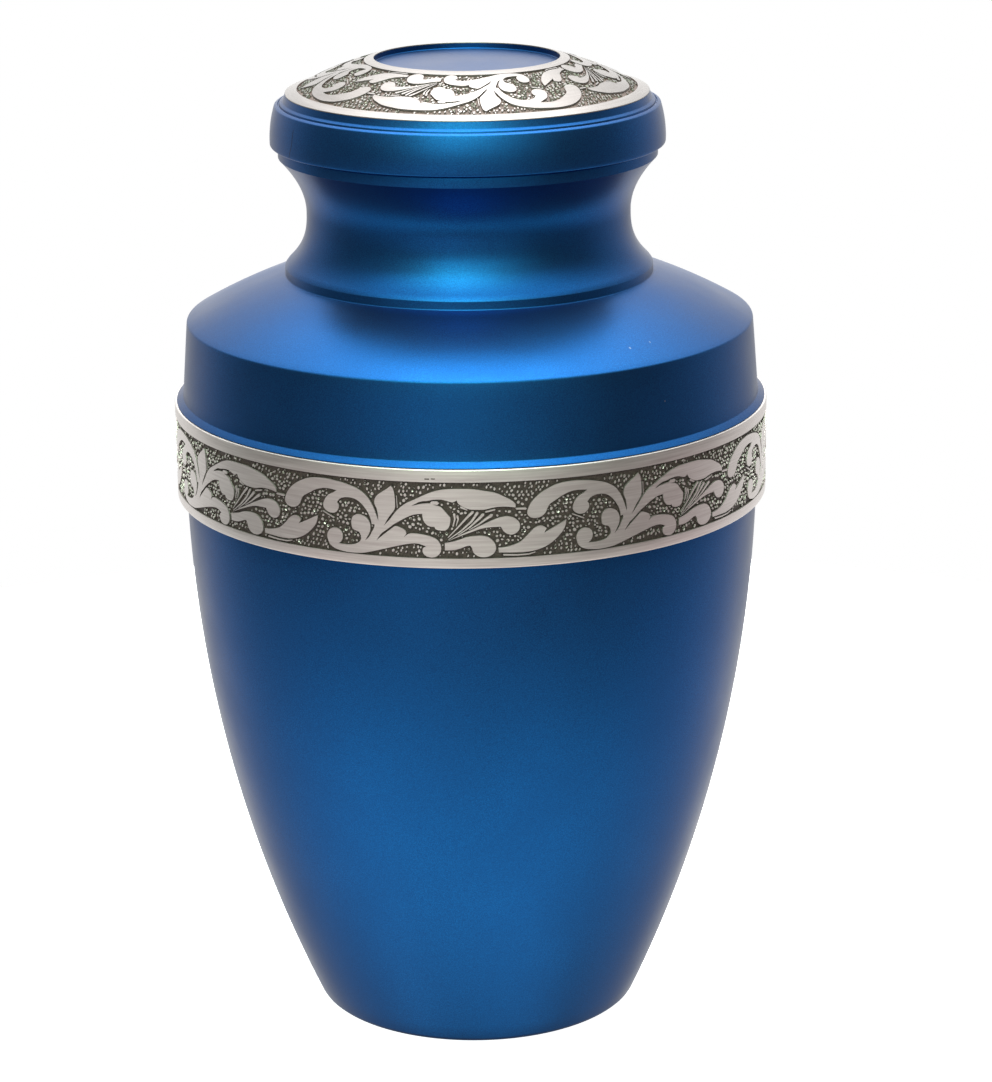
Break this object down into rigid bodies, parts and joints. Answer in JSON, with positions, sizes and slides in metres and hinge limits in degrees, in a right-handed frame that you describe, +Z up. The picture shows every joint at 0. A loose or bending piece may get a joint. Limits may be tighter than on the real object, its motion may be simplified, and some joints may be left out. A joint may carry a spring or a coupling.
{
  "type": "funeral urn",
  "caption": "Baluster-shaped funeral urn in blue lacquer with a raised scroll-engraved band and a lift-off engraved lid with a round recess.",
  "frame": {"origin": "centre of the underside, on the surface it stands on", "axes": "+Z up along the axis of turning, -Y towards the front as pictured"},
  "size_m": [0.16, 0.16, 0.2636],
  "materials": {
    "blue_lacquer": "satin metallic blue lacquer on cast metal",
    "engraved_metal": "pewter-coloured brushed metal with dark patina in the engraved ground"
  },
  "bodies": {
    "root": {"urn_body": "blue_lacquer", "lid": "blue_lacquer"}
  },
  "joints": []
}
